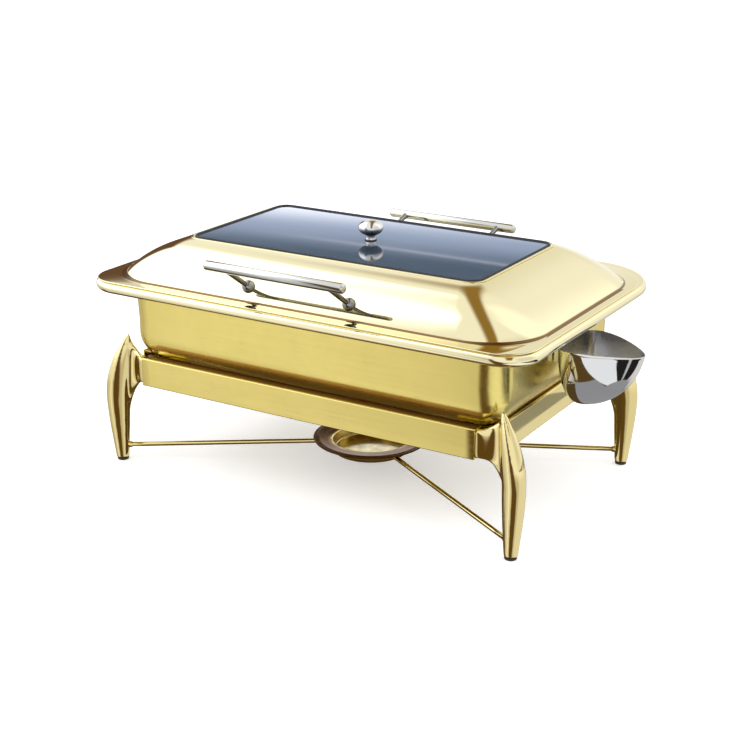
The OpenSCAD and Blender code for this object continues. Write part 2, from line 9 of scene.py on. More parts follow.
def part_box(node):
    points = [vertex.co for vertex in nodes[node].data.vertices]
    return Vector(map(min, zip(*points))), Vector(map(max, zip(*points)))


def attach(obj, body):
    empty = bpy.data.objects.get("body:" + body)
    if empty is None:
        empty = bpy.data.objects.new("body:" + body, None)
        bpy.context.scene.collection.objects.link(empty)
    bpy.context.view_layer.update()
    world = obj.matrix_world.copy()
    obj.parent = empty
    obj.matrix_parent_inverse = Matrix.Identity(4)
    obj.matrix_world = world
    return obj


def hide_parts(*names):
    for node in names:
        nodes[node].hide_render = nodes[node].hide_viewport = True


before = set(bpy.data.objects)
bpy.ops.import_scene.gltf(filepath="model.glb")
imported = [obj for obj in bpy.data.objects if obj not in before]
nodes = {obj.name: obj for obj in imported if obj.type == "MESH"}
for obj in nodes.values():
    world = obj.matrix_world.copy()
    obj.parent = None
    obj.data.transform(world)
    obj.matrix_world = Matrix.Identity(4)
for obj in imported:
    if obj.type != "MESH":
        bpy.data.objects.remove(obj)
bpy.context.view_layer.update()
MM = 0.001

# ---------------------------------------------------------------- materials


class Graph:
    """A material's node tree with short calls for the nodes used here."""

    def __init__(self, name):
        self.material = bpy.data.materials.new(name)
        self.material.use_nodes = True
        self.tree = self.material.node_tree
        self.tree.nodes.clear()
        self.out = self.tree.nodes.new("ShaderNodeOutputMaterial")
        self.shader = self.tree.nodes.new("ShaderNodeBsdfPrincipled")
        self.tree.links.new(self.shader.outputs[0], self.out.inputs[0])
        self.coords = self.tree.nodes.new("ShaderNodeTexCoord").outputs["Object"]

    def node(self, kind, **settings):
        made = self.tree.nodes.new(kind)
        for key, value in settings.items():
            setattr(made, key, value)
        return made

    def feed(self, made, **inputs):
        for key, value in inputs.items():
            socket = made.inputs[int(key[1:])] if key[0] == "_" else made.inputs[key]
            if isinstance(value, bpy.types.NodeSocket):
                self.tree.links.new(value, socket)
            else:
                socket.default_value = value
        return made

    def stretched(self, scale):
        made = self.node("ShaderNodeMapping")
        self.feed(made, Vector=self.coords, Scale=scale)
        return made.outputs[0]

    def noise(self, scale, detail=3.0, stretch=None, roughness=0.5):
        made = self.node("ShaderNodeTexNoise")
        vector = self.stretched(stretch) if stretch else self.coords
        self.feed(made, Vector=vector, Scale=scale, Detail=detail, Roughness=roughness)
        return made.outputs["Fac"]

    def ramp(self, fac, stops):
        made = self.node("ShaderNodeValToRGB")
        self.feed(made, Fac=fac)
        bar = made.color_ramp
        while len(bar.elements) < len(stops):
            bar.elements.new(0.5)
        for element, (at, colour) in zip(bar.elements, stops):
            element.position = at
            element.color = (*colour, 1) if len(colour) == 3 else colour
        return made.outputs["Color"]

    def span(self, fac, low, high, start=0.3, stop=0.7):
        made = self.node("ShaderNodeMapRange")
        self.feed(made, _0=fac, _1=start, _2=stop, _3=low, _4=high)
        return made.outputs[0]

    def math(self, how, a, b):
        made = self.node("ShaderNodeMath", operation=how)
        self.feed(made, _0=a, _1=b)
        return made.outputs[0]

    def bump(self, height, strength, distance, under=None):
        made = self.node("ShaderNodeBump")
        self.feed(made, Height=height, Strength=strength, Distance=distance)
        if under is not None:
            self.feed(made, Normal=under)
        return made.outputs[0]

    def set(self, **inputs):
        for key, value in inputs.items():
            socket = self.shader.inputs[key.replace("_", " ")]
            if isinstance(value, bpy.types.NodeSocket):
                self.tree.links.new(value, socket)
            else:
                socket.default_value = value
        return self.material


def gold(name, low, high, rough, brushed=None, grain=0.35):
    """Polished or brushed pale gold coating; brushed is the stretch of its grain."""
    g = Graph(name)
    cloud = g.noise(5.0, 4.0)
    colour = g.ramp(cloud, [(0.25, low), (0.75, high)])
    smear = g.noise(38.0, 5.0, roughness=0.6)
    roughness = g.span(smear, rough[0], rough[1])
    waves = g.bump(g.noise(26.0, 1.0), 0.06, 0.0006)
    if brushed:
        lines = g.noise(300.0, 3.0, stretch=brushed)
        roughness = g.math("ADD", roughness, g.span(lines, 0.0, 0.06))
        waves = g.bump(lines, grain, 0.00005, under=waves)
    else:
        scuffs = g.noise(150.0, 6.0, stretch=(1.0, 0.14, 0.5), roughness=0.7)
        roughness = g.math("ADD", roughness, g.span(scuffs, 0.0, 0.05, 0.52, 0.75))
        waves = g.bump(scuffs, 0.03, 0.00005, under=waves)
    return g.set(Base_Color=colour, Metallic=1.0, Roughness=roughness, Normal=waves)


GOLD = gold("gold_mirror", (0.82, 0.70, 0.30), (0.87, 0.75, 0.36), (0.05, 0.10))
# the lid's gold is paler than the pan's: partly its polish, partly painted highlight
GOLD_LID = gold("gold_lid", (0.88, 0.81, 0.52), (0.91, 0.84, 0.56), (0.03, 0.065))
GOLD_PAN = gold("gold_pan_brushed", (0.79, 0.66, 0.21), (0.84, 0.71, 0.245), (0.17, 0.24),
                brushed=(0.03, 0.6, 1.0), grain=0.10)
# painted shade: the front and back rails take the pan's brushed gold, a little darker
GOLD_RAIL = gold("gold_rail_brushed", (0.75, 0.62, 0.20), (0.80, 0.67, 0.235), (0.17, 0.24),
                 brushed=(0.03, 0.6, 1.0), grain=0.10)
# painted shade: stands for dark lines in crevices and gaps, not for a finish of its own
CREASE_SHADE = gold("gold_crease_shade", (0.20, 0.11, 0.045), (0.27, 0.16, 0.07), (0.18, 0.28))
GOLD_LEG = gold("gold_cast", (0.82, 0.70, 0.33), (0.88, 0.76, 0.40), (0.06, 0.11))


def chrome(name, low, high, under=None, rough=(0.035, 0.09)):
    """Chrome plating; under is painted shade, a darker tone on faces that point down in the world.

    It stands for the dark undersides in the photo. It isn't wear on the real metal, and it
    follows the world's up, so it shifts over a part that turns with the lid.
    """
    g = Graph(name)
    smear = g.noise(45.0, 5.0, roughness=0.65)
    tint = g.ramp(g.noise(7.0), [(0.3, low), (0.7, high)])
    if under:
        normal = g.node("ShaderNodeSeparateXYZ")
        g.feed(normal, Vector=g.node("ShaderNodeNewGeometry").outputs["Normal"])
        shade = g.math("ADD", g.span(normal.outputs["Z"], 1.0, 0.0, -0.55, 0.30),
                       g.span(smear, -0.12, 0.12))
        merge = g.node("ShaderNodeMix", data_type="RGBA")
        g.feed(merge, _0=shade, _6=tint, _7=(*under, 1))
        tint = merge.outputs[2]
    ripple = g.bump(g.noise(30.0, 1.0), 0.05, 0.0005)
    return g.set(Base_Color=tint, Metallic=1.0, Roughness=g.span(smear, *rough), Normal=ripple)


def tray_bronze():
    """Tray finish by distance from its middle: pale gold bowl, brown rim, as in the photo."""
    g = Graph("tray_bronze")
    flat = g.node("ShaderNodeMapping")
    g.feed(flat, Vector=g.coords, Scale=(1.0, 1.0, 0.0))
    length = g.node("ShaderNodeVectorMath", operation="LENGTH")
    g.feed(length, Vector=flat.outputs[0])
    wobble = g.math("ADD", length.outputs["Value"], g.span(g.noise(60.0, 4.0), -0.002, 0.002))
    reach = g.span(wobble, 0.0, 1.0, 0.040, 0.080)
    tone = g.ramp(reach, [(0.10, (0.84, 0.73, 0.42)), (0.24, (0.74, 0.60, 0.28)),
                          (0.33, (0.22, 0.12, 0.045)), (0.80, (0.13, 0.055, 0.022))])
    smear = g.noise(70.0, 5.0, roughness=0.6)
    return g.set(Base_Color=tone, Metallic=1.0, Roughness=g.span(smear, 0.14, 0.26),
                 Normal=g.bump(smear, 0.05, 0.0002))


def satin_steel():
    g = Graph("steel_satin")
    lines = g.noise(380.0, 2.0, stretch=(0.06, 1.0, 1.0))
    tint = g.ramp(g.noise(9.0), [(0.3, (0.60, 0.61, 0.62)), (0.7, (0.70, 0.70, 0.71))])
    roughness = g.math("ADD", g.span(g.noise(30.0), 0.24, 0.32), g.span(lines, 0.0, 0.12))
    return g.set(Base_Color=tint, Metallic=1.0, Roughness=roughness,
                 Normal=g.bump(lines, 0.4, 0.00008))


def rubber():
    g = Graph("rubber_black")
    grain = g.noise(900.0, 3.0)
    tint = g.ramp(g.noise(40.0), [(0.3, (0.012, 0.012, 0.013)), (0.7, (0.028, 0.028, 0.030))])
    return g.set(Base_Color=tint, Roughness=g.span(grain, 0.45, 0.7),
                 Normal=g.bump(grain, 0.3, 0.0002))


def smoked_glass():
    g = Graph("glass_smoked")
    haze = g.noise(16.0, 4.0, stretch=(0.25, 1.0, 1.0))
    tint = g.ramp(haze, [(0.3, (0.060, 0.085, 0.125)), (0.7, (0.090, 0.120, 0.165))])
    wipe = g.noise(60.0, 4.0, stretch=(0.12, 1.0, 1.0), roughness=0.6)
    return g.set(Base_Color=tint, Roughness=g.span(wipe, 0.02, 0.07), IOR=1.52,
                 Transmission_Weight=0.35, Coat_Weight=1.0, Coat_Roughness=0.02,
                 Normal=g.bump(haze, 0.02, 0.0006))


CHROME = chrome("chrome_mirror", (0.70, 0.71, 0.72), (0.78, 0.78, 0.79))
# the under tones below are painted shade on faces that point down
CHROME_BAR = chrome("chrome_bar", (0.66, 0.67, 0.66), (0.72, 0.73, 0.72),
                    under=(0.30, 0.305, 0.31))
# painted shade: the stems and balls take a much darker copy of the chrome
CHROME_STEM = chrome("chrome_stem", (0.26, 0.265, 0.26), (0.34, 0.345, 0.34),
                     under=(0.06, 0.06, 0.06))
CHROME_BOWL = chrome("chrome_bowl", (0.62, 0.62, 0.63), (0.72, 0.72, 0.73), rough=(0.16, 0.26))
CHROME_KNOB = chrome("chrome_knob", (0.72, 0.73, 0.74), (0.80, 0.80, 0.81),
                     under=(0.10, 0.12, 0.15))
TRAY = tray_bronze()
STEEL = satin_steel()
RUBBER = rubber()
GLASS = smoked_glass()

# ---------------------------------------------------------------- mesh tools


SHARP = 38.0  # degrees
TINY = 0.001 * MM  # radius at the tip of a lathe profile
CORNERS = (("front_left", -1, -1), ("front_right", 1, -1),
           ("back_left", -1, 1), ("back_right", 1, 1))


def finish_mesh(mesh, sharp=SHARP):
    """Smooth faces, with edges sharper than the angle left hard."""
    mesh.update()
    mesh.polygons.foreach_set("use_smooth", [True] * len(mesh.polygons))
    mesh.set_sharp_from_angle(angle=math.radians(sharp))


def piece(name, verts, faces, body, slot, material, replaces=(), sharp=SHARP):
    """A mesh object that rides on a body, takes the given finish and may stand for CAD nodes; slot
    is not used.
    """
    mesh = bpy.data.meshes.new(name)
    mesh.from_pydata([tuple(v) for v in verts], [], faces)
    mesh.validate()
    shell = bmesh.new()
    shell.from_mesh(mesh)
    bmesh.ops.remove_doubles(shell, verts=shell.verts, dist=2e-6)
    bmesh.ops.recalc_face_normals(shell, faces=shell.faces)
    shell.to_mesh(mesh)
    shell.free()
    finish_mesh(mesh, sharp)
    mesh.materials.append(material)
    made = bpy.data.objects.new(name, mesh)
    bpy.context.scene.collection.objects.link(made)
    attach(made, body)
    if replaces:
        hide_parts(*replaces)
    return made


def skin(loops, wrap=False, caps=False):
    """Verts and quads over loops of equal length; wrap joins the last loop to the first."""
    n, m = len(loops), len(loops[0])
    verts = [p for loop in loops for p in loop]
    faces = []
    for i in range(n if wrap else n - 1):
        k = (i + 1) % n
        for j in range(m):
            t = (j + 1) % m
            faces.append((i * m + j, i * m + t, k * m + t, k * m + j))
    if caps:
        faces.append(tuple(range(m))[::-1])
        faces.append(tuple((n - 1) * m + j for j in range(m)))
    return verts, faces


CORNER, SIDE = 22, 14  # steps round a corner and along a side


def ring(a, b, r, z, back=None, r_back=None):
    """Rounded rectangle at height z, with its own depth and corners at the back if given."""
    back = b if back is None else back
    r_back = r if r_back is None else r_back
    corners = [(1, back, r_back, 0), (-1, back, r_back, 90), (-1, -b, r, 180), (1, -b, r, 270)]
    points = []
    for sx, depth, radius, start in corners:
        cx, cy = sx * (a - radius), math.copysign(abs(depth) - radius, depth)
        for i in range(CORNER + 1):
            t = math.radians(start + 90 * i / CORNER)
            points.append((cx + radius * math.cos(t), cy + radius * math.sin(t), z))
    full = []
    for i, p in enumerate(points):
        full.append(p)
        if i % (CORNER + 1) == CORNER:
            q = points[(i + 1) % len(points)]
            full += [tuple(p[k] + (q[k] - p[k]) * s / SIDE for k in range(3))
                     for s in range(1, SIDE)]
    return full


def lathe(profile, where, steps=72):
    """Verts and quads of a turned shape; profile is (radius, height), where its frame."""
    loops = []
    for r, h in profile:
        loops.append([
            where @ Vector((r * math.cos(2 * math.pi * k / steps),
                            r * math.sin(2 * math.pi * k / steps), h))
            for k in range(steps)
        ])
    return skin(loops, caps=True)


def merged(*parts):
    """Verts and faces of several shapes as one."""
    verts, faces = [], []
    for v, f in parts:
        base = len(verts)
        verts += list(v)
        faces += [tuple(i + base for i in face) for face in f]
    return verts, faces


def mix(a, b, t):
    return a + (b - a) * t


def ease(x, low, high):
    t = min(1.0, max(0.0, (x - low) / (high - low)))
    return t * t * (3 - 2 * t)


def bulge(value, power):
    """Power of a sine or cosine with its sign kept, for squarish or pointed ovals."""
    return math.copysign(abs(value) ** power, value)


def arc(cx, cy, r, start, stop, steps):
    """Points of an arc in the profile plane, angles in degrees."""
    return [
        (cx + r * math.cos(math.radians(mix(start, stop, i / steps))),
         cy + r * math.sin(math.radians(mix(start, stop, i / steps))))
        for i in range(steps + 1)
    ]


# ---------------------------------------------------------------- lid

lid_lo, lid_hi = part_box("lid_shell")
glass_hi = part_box("window_glass")[1]
TOP = lid_hi.z
FLANGE_UNDER = lid_lo.z
FOOT = FLANGE_UNDER + 1.5 * MM
WIN_X, WIN_Y, WIN_R = glass_hi.x + 3 * MM, glass_hi.y + 3 * MM, 16 * MM
FLANGE, FLANGE_FRONT, HEM_R = 13 * MM, 18 * MM, 0.75 * MM
DOME_X, DOME_FRONT, DOME_BACK = lid_hi.x - FLANGE, -lid_lo.y - FLANGE_FRONT, lid_hi.y - FLANGE
DOME_R, DOME_R_BACK = 75 * MM, 94 * MM
SHEET = 1.2 * MM
LEDGE, LEDGE_R = 12 * MM, 8 * MM  # the step that the glass lies on
SEAT, SEAT_UNDER = 4.8 * MM, 6 * MM  # its top and underside, below the lid's top


def dome_height(t):
    return FOOT + (TOP - FOOT) * max(0.0, 1 - t ** 1.3) ** (1 / 1.2)


def front_part(t):
    """How far out the front has come at t: flatter at the top, steeper at the foot."""
    return t ** 0.55


def dome_ring(t, inset=0.0, drop=0.0):
    return ring(mix(WIN_X, DOME_X, t) - inset, mix(WIN_Y, DOME_FRONT, front_part(t)) - inset,
                mix(WIN_R, DOME_R, t), dome_height(t) - drop,
                mix(WIN_Y, DOME_BACK, t) - inset, mix(WIN_R, DOME_R_BACK, t))


def flange_ring(out, z):
    """A loop on the lid's flange, out metres beyond the foot of its slope.

    The flange is 18 mm wide at the front and 13 mm on the other sides.
    """
    return ring(DOME_X + out, DOME_FRONT + out * 18 / 13, mix(DOME_R, 40 * MM, out / FLANGE), z,
                DOME_BACK + out, mix(DOME_R_BACK, 84 * MM, out / FLANGE))


slope_steps = [(i / 14) ** 2 * 0.06 for i in range(14)] + [
    0.06 + 0.94 * (1 - (1 - i / 44) ** 1.5) for i in range(45)]
outer = [dome_ring(t) for t in slope_steps if t < 0.988]
hem = [flange_ring(FLANGE + HEM_R * (math.sin(math.radians(u)) - 1),
                   FOOT - HEM_R + HEM_R * math.cos(math.radians(u)))
       for u in range(0, 181, 20)]
lid_loops = (
    [ring(WIN_X - LEDGE, WIN_Y - LEDGE, LEDGE_R, TOP - SEAT),
     ring(WIN_X - 1 * MM, WIN_Y - 1 * MM, WIN_R, TOP - SEAT),
     ring(WIN_X - 0.3 * MM, WIN_Y - 0.3 * MM, WIN_R, TOP - 4.0 * MM),
     ring(WIN_X - 0.1 * MM, WIN_Y - 0.1 * MM, WIN_R, TOP - 0.4 * MM)]
    + outer
    + [flange_ring(0.5 * MM, FOOT + 2.2 * MM), flange_ring(1.1 * MM, FOOT + 1.1 * MM),
       flange_ring(2.2 * MM, FOOT + 0.35 * MM), flange_ring(4.0 * MM, FOOT)]
    + hem
    + [flange_ring(-0.4 * MM, FLANGE_UNDER)]
    + [dome_ring(t, 1.08 * MM, 1.38 * MM) for t in slope_steps[::-1] if 0.03 < t < 0.985]
    + [ring(WIN_X + SHEET, WIN_Y + SHEET, WIN_R, TOP - SEAT_UNDER),
       ring(WIN_X - LEDGE, WIN_Y - LEDGE, LEDGE_R, TOP - SEAT_UNDER)]
)
lid = piece("lid_shell_formed", *skin(lid_loops, wrap=True), "lid", "gold_plate", GOLD_LID,
            replaces=["lid_shell"], sharp=50)
# painted shade: a dark line on the steep faces where the slope meets the flange
lid.data.materials.append(CREASE_SHADE)
for face in lid.data.polygons:
    if FOOT + 0.1 * MM < face.center.z < FOOT + 1.8 * MM and 0.2 < face.normal.z < 0.985:
        face.material_index = 1

# bead round the window, an oval ring nearly flush with the lid, as the photo shows it
bead = []
for k in range(24):
    u = math.radians(-15 * k)
    grow = 2.4 * MM + 2.2 * MM * math.cos(u)
    bead.append(ring(WIN_X + grow, WIN_Y + grow, WIN_R + grow,
                     TOP + 0.2 * MM + 0.55 * MM * math.sin(u)))
piece("window_bead", *skin(bead, wrap=True), "lid", "gold_plate", GOLD_LID,
      replaces=["window_trim"])

# rubber lip between the glass and the bead, a little proud of both
lip = []
for k in range(16):
    u = math.radians(-22.5 * k)
    grow = -1.5 * MM + 1.7 * MM * math.cos(u)
    lip.append(ring(WIN_X + grow, WIN_Y + grow, WIN_R + grow,
                    TOP - 0.6 * MM + 2.7 * MM * math.sin(u)))
piece("window_lip", *skin(lip, wrap=True), "lid", "black_rubber", RUBBER,
      replaces=["window_gasket"])

# ---------------------------------------------------------------- water pan

pan_lo, pan_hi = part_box("water_pan")
RIM_X, RIM_FRONT, RIM_BACK, RIM_TOP = pan_hi.x, -pan_lo.y, pan_hi.y, pan_hi.z
PAN_X, PAN_Y, PAN_R, PAN_TURN = RIM_X - 43 * MM, RIM_FRONT - 34 * MM, 30 * MM, 40 * MM
ROLL = 7 * MM


def turn_loops(a, b, r, z, turn, steps):
    """Wall loops that rise from a flat bottom through a rounded turn."""
    loops = []
    for i in range(steps + 1):
        u = math.radians(90 * i / steps)
        inset = turn * (1 - math.sin(u))
        loops.append(ring(a - inset, b - inset, max(r - inset * 0.6, 8 * MM),
                          z + turn * (1 - math.cos(u))))
    return loops


def roll_loop(r, u):
    """A loop of the rolled rim at u degrees round the roll, 0 at its top."""
    out = r * math.sin(math.radians(u)) - ROLL
    return ring(RIM_X + out, RIM_FRONT + out, 44 * MM + out,
                RIM_TOP - ROLL + r * math.cos(math.radians(u)), RIM_BACK + out, 92 * MM + out)


pan_loops = (
    turn_loops(PAN_X - 2 * MM, PAN_Y - 2 * MM, PAN_R - 2 * MM, pan_lo.z, PAN_TURN, 20)
    + [ring(mix(PAN_X - 2 * MM, PAN_X, s), mix(PAN_Y - 2 * MM, PAN_Y, s), PAN_R,
            mix(pan_lo.z + PAN_TURN, RIM_TOP - 4 * MM, s)) for s in (0.25, 0.5, 0.75, 1.0)]
    + [ring(PAN_X + 0.8 * MM, PAN_Y + 0.8 * MM, PAN_R + 1 * MM, RIM_TOP - 2 * MM),
       ring(PAN_X + 3 * MM, PAN_Y + 3 * MM, PAN_R + 2 * MM, RIM_TOP - SHEET)]
    + [roll_loop(ROLL - SHEET, u) for u in range(0, 181, 12)]
    + [roll_loop(ROLL, u) for u in range(180, -1, -9)]
    + [ring(PAN_X + 2 * MM, PAN_Y + 2 * MM, PAN_R, RIM_TOP),
       ring(PAN_X - 0.6 * MM, PAN_Y - 0.6 * MM, PAN_R - 1 * MM, RIM_TOP - 0.6 * MM),
       ring(PAN_X - SHEET, PAN_Y - SHEET, PAN_R - SHEET, RIM_TOP - 3 * MM)]
    + turn_loops(PAN_X - 3.2 * MM, PAN_Y - 3.2 * MM, PAN_R - 3.2 * MM, pan_lo.z + SHEET,
                 PAN_TURN - SHEET, 20)[::-1]
)
pan = piece("water_pan_formed", *skin(pan_loops, caps=True), "pan", "gold_plate", GOLD_PAN,
            replaces=["water_pan"], sharp=50)
# the rolled rim takes the paler lid gold: partly its polish, partly painted highlight
pan.data.materials.append(GOLD_LID)
for face in pan.data.polygons:
    centre = face.center
    if centre.z > RIM_TOP - 2 * ROLL - 1 * MM and (
            abs(centre.x) > PAN_X + 0.5 * MM or abs(centre.y) > PAN_Y + 0.5 * MM):
        face.material_index = 1

# food pan inside it, a standard full-size pan with a drawn flange
food_lo, food_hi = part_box("food_pan")
FX, FY, FTOP = food_hi.x, food_hi.y, food_hi.z
FOOD_SHEET, FLANGE_R = 0.9 * MM, 30 * MM
food_loops = (
    turn_loops(FX - 22 * MM, FY - 22 * MM, 44 * MM, food_lo.z, 14 * MM, 10)
    + [ring(FX - 13.4 * MM, FY - 13.4 * MM, 48 * MM, FTOP - 2 * MM),
       ring(FX - 13 * MM, FY - 13 * MM, 48 * MM, FTOP - FOOD_SHEET),
       ring(FX - 0.3 * MM, FY - 0.3 * MM, FLANGE_R, FTOP - FOOD_SHEET),
       ring(FX, FY, FLANGE_R, FTOP - 0.45 * MM),
       ring(FX - 0.3 * MM, FY - 0.3 * MM, FLANGE_R, FTOP),
       ring(FX - 12 * MM, FY - 12 * MM, 47 * MM, FTOP),
       ring(FX - 13.6 * MM, FY - 13.6 * MM, 47 * MM, FTOP - 0.7 * MM),
       ring(FX - 14.2 * MM, FY - 14.2 * MM, 47 * MM, FTOP - 2.5 * MM)]
    + turn_loops(FX - 22.9 * MM, FY - 22.9 * MM, 43 * MM, food_lo.z + FOOD_SHEET,
                 13.1 * MM, 10)[::-1]
)
piece("food_pan_drawn", *skin(food_loops, caps=True), "pan", "bare_steel", STEEL,
      replaces=["food_pan"], sharp=50)

# ---------------------------------------------------------------- spoon rest

rest_lo, rest_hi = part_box("spoon_rest")
REST_BACK, REST_REACH = rest_lo.x, rest_hi.x
REST_MID = REST_BACK + 26 * MM
REST_HALF, REST_TOP, REST_FLOOR = rest_hi.y, rest_hi.z, rest_lo.z
REST_N, REST_STEPS = 120, 30
REST_WALL, REST_FLOOR_WALL = 1.6 * MM, 1.8 * MM


def rest_loop(s, inset, floor):
    """Loop of the boat-shaped bowl at depth s, 0 at the mouth and 1 at the bottom."""
    loop = []
    for k in range(REST_N):
        t = 2 * math.pi * k / REST_N
        c = math.cos(t)
        reach = (REST_REACH - REST_MID if c > 0 else REST_MID - REST_BACK) - inset
        taper = 1 - 0.38 * c ** 1.5 if c > 0 else 1.0
        x = REST_MID + reach * (c if c > 0 else -((-c) ** 0.6))
        y = (REST_HALF - inset) * taper * math.sin(t)
        grow = max(0.0, 1 - s ** 2.4) ** 0.55
        out = max(0.0, x - REST_MID) / (REST_REACH - REST_MID)
        tuck = 0.35 * out * s ** 0.8
        lip = REST_TOP - 6 * MM * out ** 1.5
        loop.append((REST_MID + (x - REST_MID) * grow * (1 - tuck * 0.5), y * grow,
                     mix(lip, REST_FLOOR + floor, s)))
    return loop


def depths(end):
    """Depths of the bowl's loops, closer together towards the bottom."""
    return [min(end, 1 - (1 - i / REST_STEPS) ** 1.5) for i in range(REST_STEPS + 1)]


lip_loops = [rest_loop(0.0, inset, 0) for inset in (0.25 * MM, 0.8 * MM, 1.35 * MM)]
rest_loops = (
    [rest_loop(s, 0, 0) for s in depths(0.992)[::-1] if s > 0.004]
    + [[(x, y, z - 0.45 * MM) for x, y, z in rest_loop(0.0, 0, 0)]]
    + lip_loops
    + [rest_loop(s, REST_WALL, REST_FLOOR_WALL) for s in depths(0.99) if s > 0.01]
)
rest = piece("spoon_rest_spun", *skin(rest_loops, caps=True), "pan", "chrome", CHROME,
             replaces=["spoon_rest"], sharp=60)
# duller inside: as a mirror, its repeated reflections render as dark speckle
rest.data.materials.append(CHROME_BOWL)
bowl_mid = Vector((REST_MID, 0, REST_TOP))
for face in rest.data.polygons:
    if face.normal.dot(bowl_mid - face.center) > 0 and face.center.z < REST_TOP - 1 * MM:
        face.material_index = 1

# ---------------------------------------------------------------- legs

pad_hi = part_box("foot_pads")[1]
RAIL_LO, RAIL_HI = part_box("rail_front")
FOOT_R, LEG_R, LEG_FLAT = 8 * MM, 15.5 * MM, 0.84
FOOT_X, FOOT_Y = pad_hi.x - FOOT_R + 0.5 * MM, pad_hi.y - FOOT_R + 0.5 * MM
LEG_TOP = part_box("leg_back_right")[1].z
RAIL_BOTTOM, RAIL_TOP = RAIL_LO.z, RAIL_HI.z
RAIL_Y = -RAIL_LO.y
SIDE_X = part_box("rail_right")[1].x - 10 * MM


def leg_centre(z):
    """Middle of the horn at height z, which leans inwards above its half height."""
    h = z / LEG_TOP
    over = max(0.0, (h - 0.5) / 0.5) ** 1.6
    return (FOOT_X + 1.5 * MM * math.sin(math.pi / 2 * min(1, h / 0.5)) - 18.5 * MM * over,
            FOOT_Y + 0.5 * MM * math.sin(math.pi * min(1, h)) - 4.5 * MM * over)


def leg_radius(z):
    h = z / LEG_TOP
    if h < 0.6:
        return mix(FOOT_R, LEG_R, math.sin(math.pi / 2 * h / 0.6) ** 1.15)
    return mix(0.8 * MM, LEG_R, math.cos(math.pi / 2 * min(1, (h - 0.6) / 0.4)) ** 0.7)


def leg_loop(z, shrink=0.0, count=48):
    angle = math.atan2(FOOT_Y, FOOT_X)
    cx, cy = leg_centre(z)
    r = leg_radius(z) - shrink
    flat = mix(1, LEG_FLAT, min(1, z / LEG_TOP * 2))
    loop = []
    for k in range(count):
        t = 2 * math.pi * k / count
        u, v = r * math.cos(t), r * flat * math.sin(t)
        loop.append((cx + u * math.cos(angle) - v * math.sin(angle),
                     cy + u * math.sin(angle) + v * math.cos(angle), z))
    return loop


levels = [mix(pad_hi.z, LEG_TOP, 1 - (1 - i / 60) ** 1.15) for i in range(61)]
horn = skin([leg_loop(levels[0], 1.2 * MM)] + [leg_loop(levels[0] + 1.2 * MM)]
            + [leg_loop(z) for z in levels[2:]], caps=True)


ARM_START, ARM_BEND, ARM_RISE = 215 * MM, 238 * MM, 236 * MM  # along X
ARM_SWEEP, ARM_RISE_RUN = FOOT_X - 246 * MM, FOOT_X - 252 * MM
SIDE_ARM_START, SIDE_ARM_BEND = 118 * MM, 128 * MM  # along Y
SIDE_ARM_SWEEP, SIDE_ARM_HALF = FOOT_Y - 136 * MM, 3.9 * MM
VOXEL = 1.3 * MM
FILLET_X, FILLET_REACH = FOOT_X - 16 * MM, 22 * MM  # where the arm's join is smoothed most


def arm_loop(x, count=40):
    """Section of the long arm at x: squarish behind the rail, oval and set back at the horn."""
    s = max(0.0, (x - ARM_BEND) / ARM_SWEEP)
    rise = max(0.0, (x - ARM_RISE) / ARM_RISE_RUN)
    inset = mix(2.2, 1.5, min(1, s * 9)) * MM
    low = RAIL_BOTTOM + inset - 52 * MM * s ** 2.4
    high = RAIL_TOP - inset + 20 * MM * min(1, rise) ** 2 - 100 * MM * max(0, rise - 1)
    back = ease(s, 0.0, 0.55)
    y = RAIL_Y - mix(8.2, 13.5, back) * MM
    thick = mix(5.9, 4.6, back) * MM
    power = mix(0.25, 0.8, ease(s, 0.0, 0.4))
    loop = []
    for k in range(count):
        t = 2 * math.pi * k / count
        c, d = math.cos(t), math.sin(t)
        loop.append((x, y + thick * bulge(c, power),
                     (low + high) / 2 + (high - low) / 2 * bulge(d, power)))
    return loop


def side_arm_loop(y, count=40):
    """Section of the short arm, which runs behind the side rail."""
    s = max(0.0, (y - SIDE_ARM_BEND) / SIDE_ARM_SWEEP)
    low, high = RAIL_BOTTOM + mix(2.2, 5, s) * MM, RAIL_BOTTOM + 28 * MM
    x = SIDE_X + mix(3.9, -1.0, ease(s, 0.0, 0.7)) * MM
    power = mix(0.25, 0.8, ease(s, 0.0, 0.5))
    loop = []
    for k in range(count):
        t = 2 * math.pi * k / count
        c, d = math.cos(t), math.sin(t)
        loop.append((x + SIDE_ARM_HALF * bulge(c, power), y,
                     (low + high) / 2 + (high - low) / 2 * bulge(d, power)))
    return loop


